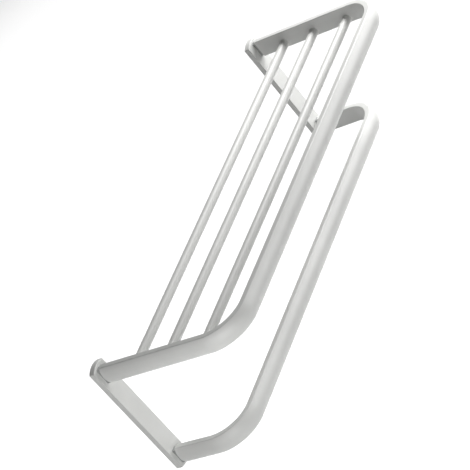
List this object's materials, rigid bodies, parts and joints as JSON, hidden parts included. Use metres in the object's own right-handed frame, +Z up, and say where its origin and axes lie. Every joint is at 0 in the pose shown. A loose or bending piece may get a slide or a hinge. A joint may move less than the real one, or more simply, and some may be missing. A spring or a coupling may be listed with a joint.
{
  "type": "wall mounted drying rack",
  "caption": "White wall-mounted drying rack: a deep D-section shelf frame with round crossbars over a shallower towel rail, both carried by upright wall plates with hidden fixings.",
  "frame": {"origin": "middle of the wall fixing holes, on the wall plane", "axes": "+X along the rack's length, +Y into the wall, +Z up; the rack stands out towards -Y"},
  "size_m": [0.617, 0.2225, 0.177],
  "materials": {
    "coat": "satin",
    "zinc": "satin",
    "screw": "satin",
    "nylon": "matte"
  },
  "bodies": {
    "root": {"shelf_frame": "coat", "towel_rail": "coat", "crossbar_rear": "coat", "crossbar_middle": "coat", "crossbar_front": "coat", "bracket_lock_screw_left": "screw", "bracket_lock_screw_right": "screw", "front_crossbar_plug_left": "nylon", "front_crossbar_plug_right": "nylon", "middle_crossbar_plug_left": "nylon", "middle_crossbar_plug_right": "nylon", "rail_arm_grub_screw_left": "screw", "rail_arm_grub_screw_right": "screw", "rail_arm_spigot_left": "zinc", "rail_arm_spigot_right": "zinc", "rail_spigot_screws_left": "screw", "rail_spigot_screws_right": "screw", "rear_crossbar_plug_left": "nylon", "rear_crossbar_plug_right": "nylon", "shelf_arm_grub_screw_left": "screw", "shelf_arm_grub_screw_right": "screw", "shelf_arm_spigot_left": "zinc", "shelf_arm_spigot_right": "zinc", "shelf_spigot_screws_left": "screw", "shelf_spigot_screws_right": "screw", "wall_bracket_left": "zinc", "wall_bracket_right": "zinc", "wall_plate_left": "coat", "wall_plate_right": "coat"}
  },
  "joints": []
}
